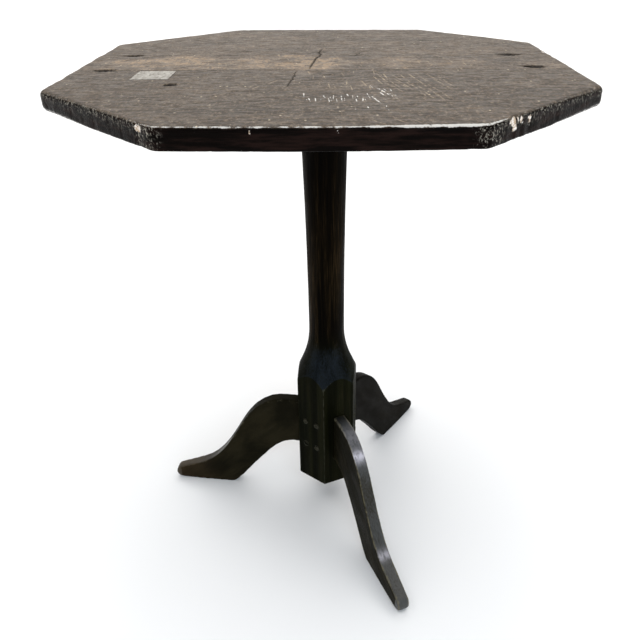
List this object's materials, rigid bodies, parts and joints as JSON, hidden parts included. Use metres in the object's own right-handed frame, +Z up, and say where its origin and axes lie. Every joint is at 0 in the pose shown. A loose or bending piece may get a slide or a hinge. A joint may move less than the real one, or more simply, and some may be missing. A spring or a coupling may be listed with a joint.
{
  "type": "tilt top table",
  "caption": "Octagonal plank top on a turned column that swells into a hexagonal block with a tripod of flat S-shaped legs; the top tilts up on wooden pins and a turn button locks it.",
  "frame": {"origin": "on the floor, under the column's axis", "axes": "+Z up, +X to the right along the planks' grain, -Y towards the side with the pivot pins, where the top's face turns to when it is tilted"},
  "size_m": [0.6218, 0.5966, 0.7204],
  "materials": {
    "painted_top": "worn dark brown paint with a low sheen, rubbed to tan in places",
    "painted_column": "near-black brown paint over vertical grain, satin",
    "painted_legs": "near-black brown paint, satin, rubbed to grey on the upper edges",
    "underside_wood": "dark stained wood, dull",
    "bare_wood": "aged bare wood, dull",
    "peg_wood": "dark peg ends, rubbed",
    "dark_iron": "dark rusted iron",
    "label_paper": "torn, dirty paper, matt"
  },
  "bodies": {
    "base": {"pivot_block": "underside_wood", "pivot_pin_left": "bare_wood", "pivot_pin_right": "bare_wood", "tenon_wedge": "bare_wood", "column": "painted_column", "leg_front": "painted_legs", "leg_left": "painted_legs", "leg_back": "painted_legs", "front_leg_peg_upper": "peg_wood", "front_leg_peg_lower": "peg_wood", "left_leg_peg_upper": "peg_wood", "left_leg_peg_lower": "peg_wood", "back_leg_peg_upper": "peg_wood", "back_leg_peg_lower": "peg_wood"},
    "top": {"top_plank_back": "painted_top", "top_plank_middle": "painted_top", "top_plank_front": "painted_top", "seam_dowels_back": "bare_wood", "seam_dowels_front": "bare_wood", "paper_label": "label_paper", "batten_left": "underside_wood", "batten_right": "underside_wood", "batten_screws_left": "dark_iron", "batten_screws_right": "dark_iron", "latch_cleat": "underside_wood", "latch_cleat_screws": "dark_iron", "latch_screw": "dark_iron"},
    "latch": {"latch_button": "underside_wood"}
  },
  "joints": [
    {"name": "top_tilt", "type": "hinge", "parent": "base", "child": "top", "pos_m": [0, -0.038, 0.677], "axis": [1, 0, 0], "range_deg": [0, 90]},
    {"name": "latch_turn", "type": "hinge", "parent": "top", "child": "latch", "pos_m": [0, 0.088, 0.669], "axis": [0, 0, 1], "range_deg": [0, 90]}
  ]
}
